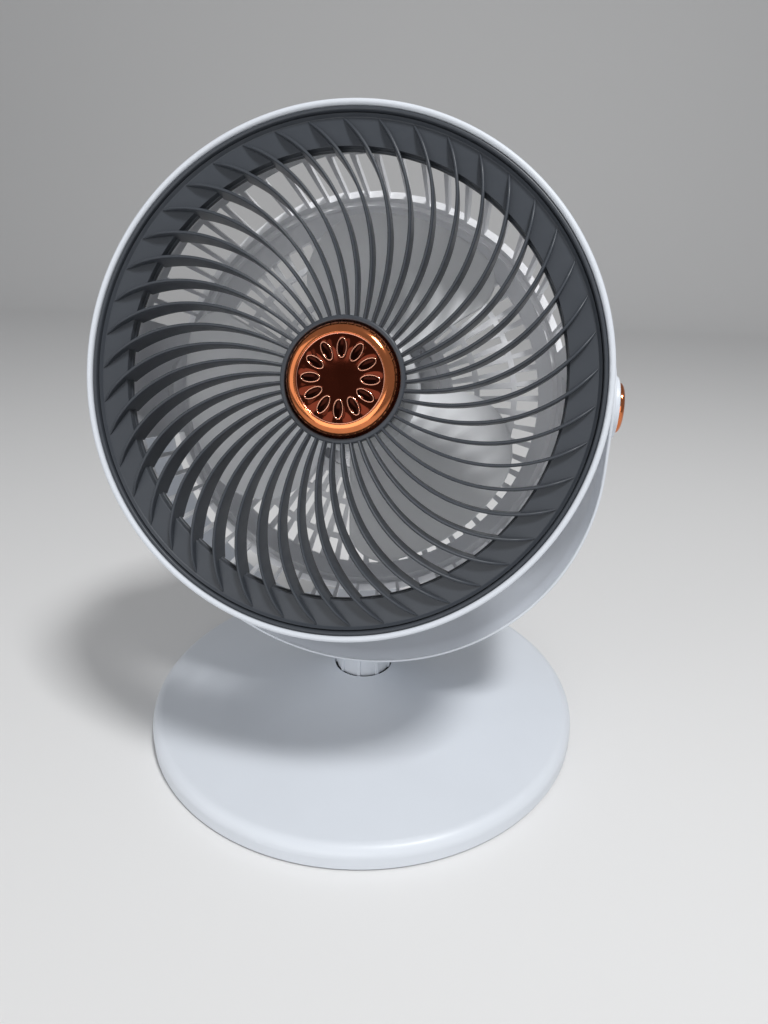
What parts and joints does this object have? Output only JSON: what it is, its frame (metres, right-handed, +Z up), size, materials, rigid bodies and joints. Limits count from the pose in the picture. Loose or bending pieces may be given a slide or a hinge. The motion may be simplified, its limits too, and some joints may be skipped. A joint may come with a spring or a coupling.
{
  "type": "desk air circulator fan",
  "caption": "Desk air circulator on a round base: a drum-shaped head with a spiral slatted grille tilts in a U-shaped yoke that turns on the base.",
  "frame": {"origin": "on the table, under the middle of the round base", "axes": "+Z up; the fan blows along -Y, tilted 19.25 degrees upwards at rest; +X is on the right of someone in front of it"},
  "size_m": [0.2258, 0.22, 0.2834],
  "materials": {
    "base_shell": "smooth satin white",
    "bottom_plate": "matt light grey",
    "feet": "matt black",
    "screws": "plated",
    "ballast": "as cast",
    "circuit_board": "coated green",
    "switch_block": "matt black",
    "inlet_shell": "plated",
    "button": "satin white",
    "washer": "slippery dark plastic",
    "neck": "smooth satin white",
    "spring_clip": "spring steel",
    "yoke_shell": "smooth satin white",
    "yoke_inside": "smooth satin white",
    "pins": "turned",
    "copper_trim": "copper-coloured plating",
    "drum": "smooth satin white",
    "grille": "satin slate grey",
    "basket": "satin white",
    "bushes": "natural plain bearing plastic",
    "motor_steel": "zinc plated",
    "bearings": "ground",
    "stator": "laminated",
    "windings": "enamelled copper wire",
    "rotor": "turned",
    "axle": "ground",
    "motor_cover": "satin white",
    "impeller": "smooth white",
    "nut": "turned"
  },
  "bodies": {
    "base": {"base_cover": "base_shell", "base_bottom_plate": "bottom_plate", "rubber_feet": "feet", "base_screws": "screws", "ballast_ring": "ballast", "control_board": "circuit_board", "button_switch": "switch_block", "power_inlet": "inlet_shell", "swivel_washer": "washer"},
    "button": {"power_button": "button"},
    "yoke": {"neck_collar": "neck", "swivel_clip": "spring_clip", "neck_screws": "screws", "yoke_bracket": "yoke_shell", "yoke_liner": "yoke_inside", "tilt_washers": "washer", "pivot_pins": "pins", "pivot_cap_right": "copper_trim", "pivot_cap_left": "copper_trim"},
    "head": {"drum_shell": "drum", "front_grille": "grille", "hub_ornament": "copper_trim", "rear_grille": "basket", "housing_screws": "screws", "pivot_bushes": "bushes", "motor_case": "motor_steel", "motor_end_cap": "motor_steel", "motor_stator": "stator", "motor_coils": "windings", "front_bearing": "bearings", "rear_bearing": "bearings", "motor_screws": "screws", "motor_cover": "motor_cover", "cover_screws": "screws"},
    "impeller": {"impeller": "impeller", "motor_axle": "axle", "motor_rotor": "rotor", "impeller_nut": "nut"}
  },
  "joints": [
    {"name": "swivel", "type": "hinge", "parent": "base", "child": "yoke", "pos_m": [0, 0, 0], "axis": [0, 0, 1], "range_deg": [-45, 45]},
    {"name": "head_tilt", "type": "hinge", "parent": "yoke", "child": "head", "pos_m": [0, 0, 0.1695], "axis": [-1, 0, 0], "range_deg": [-35, 70]},
    {"name": "impeller_spin", "type": "hinge", "parent": "head", "child": "impeller", "pos_m": [0, 0, 0.1695], "axis": [0, -0.9441, 0.3297], "continuous": true},
    {"name": "button_press", "type": "slide", "parent": "base", "child": "button", "axis": [0, 0, -1], "range_m": [0, 0.0008], "stiffness_N_per_m": 800}
  ]
}
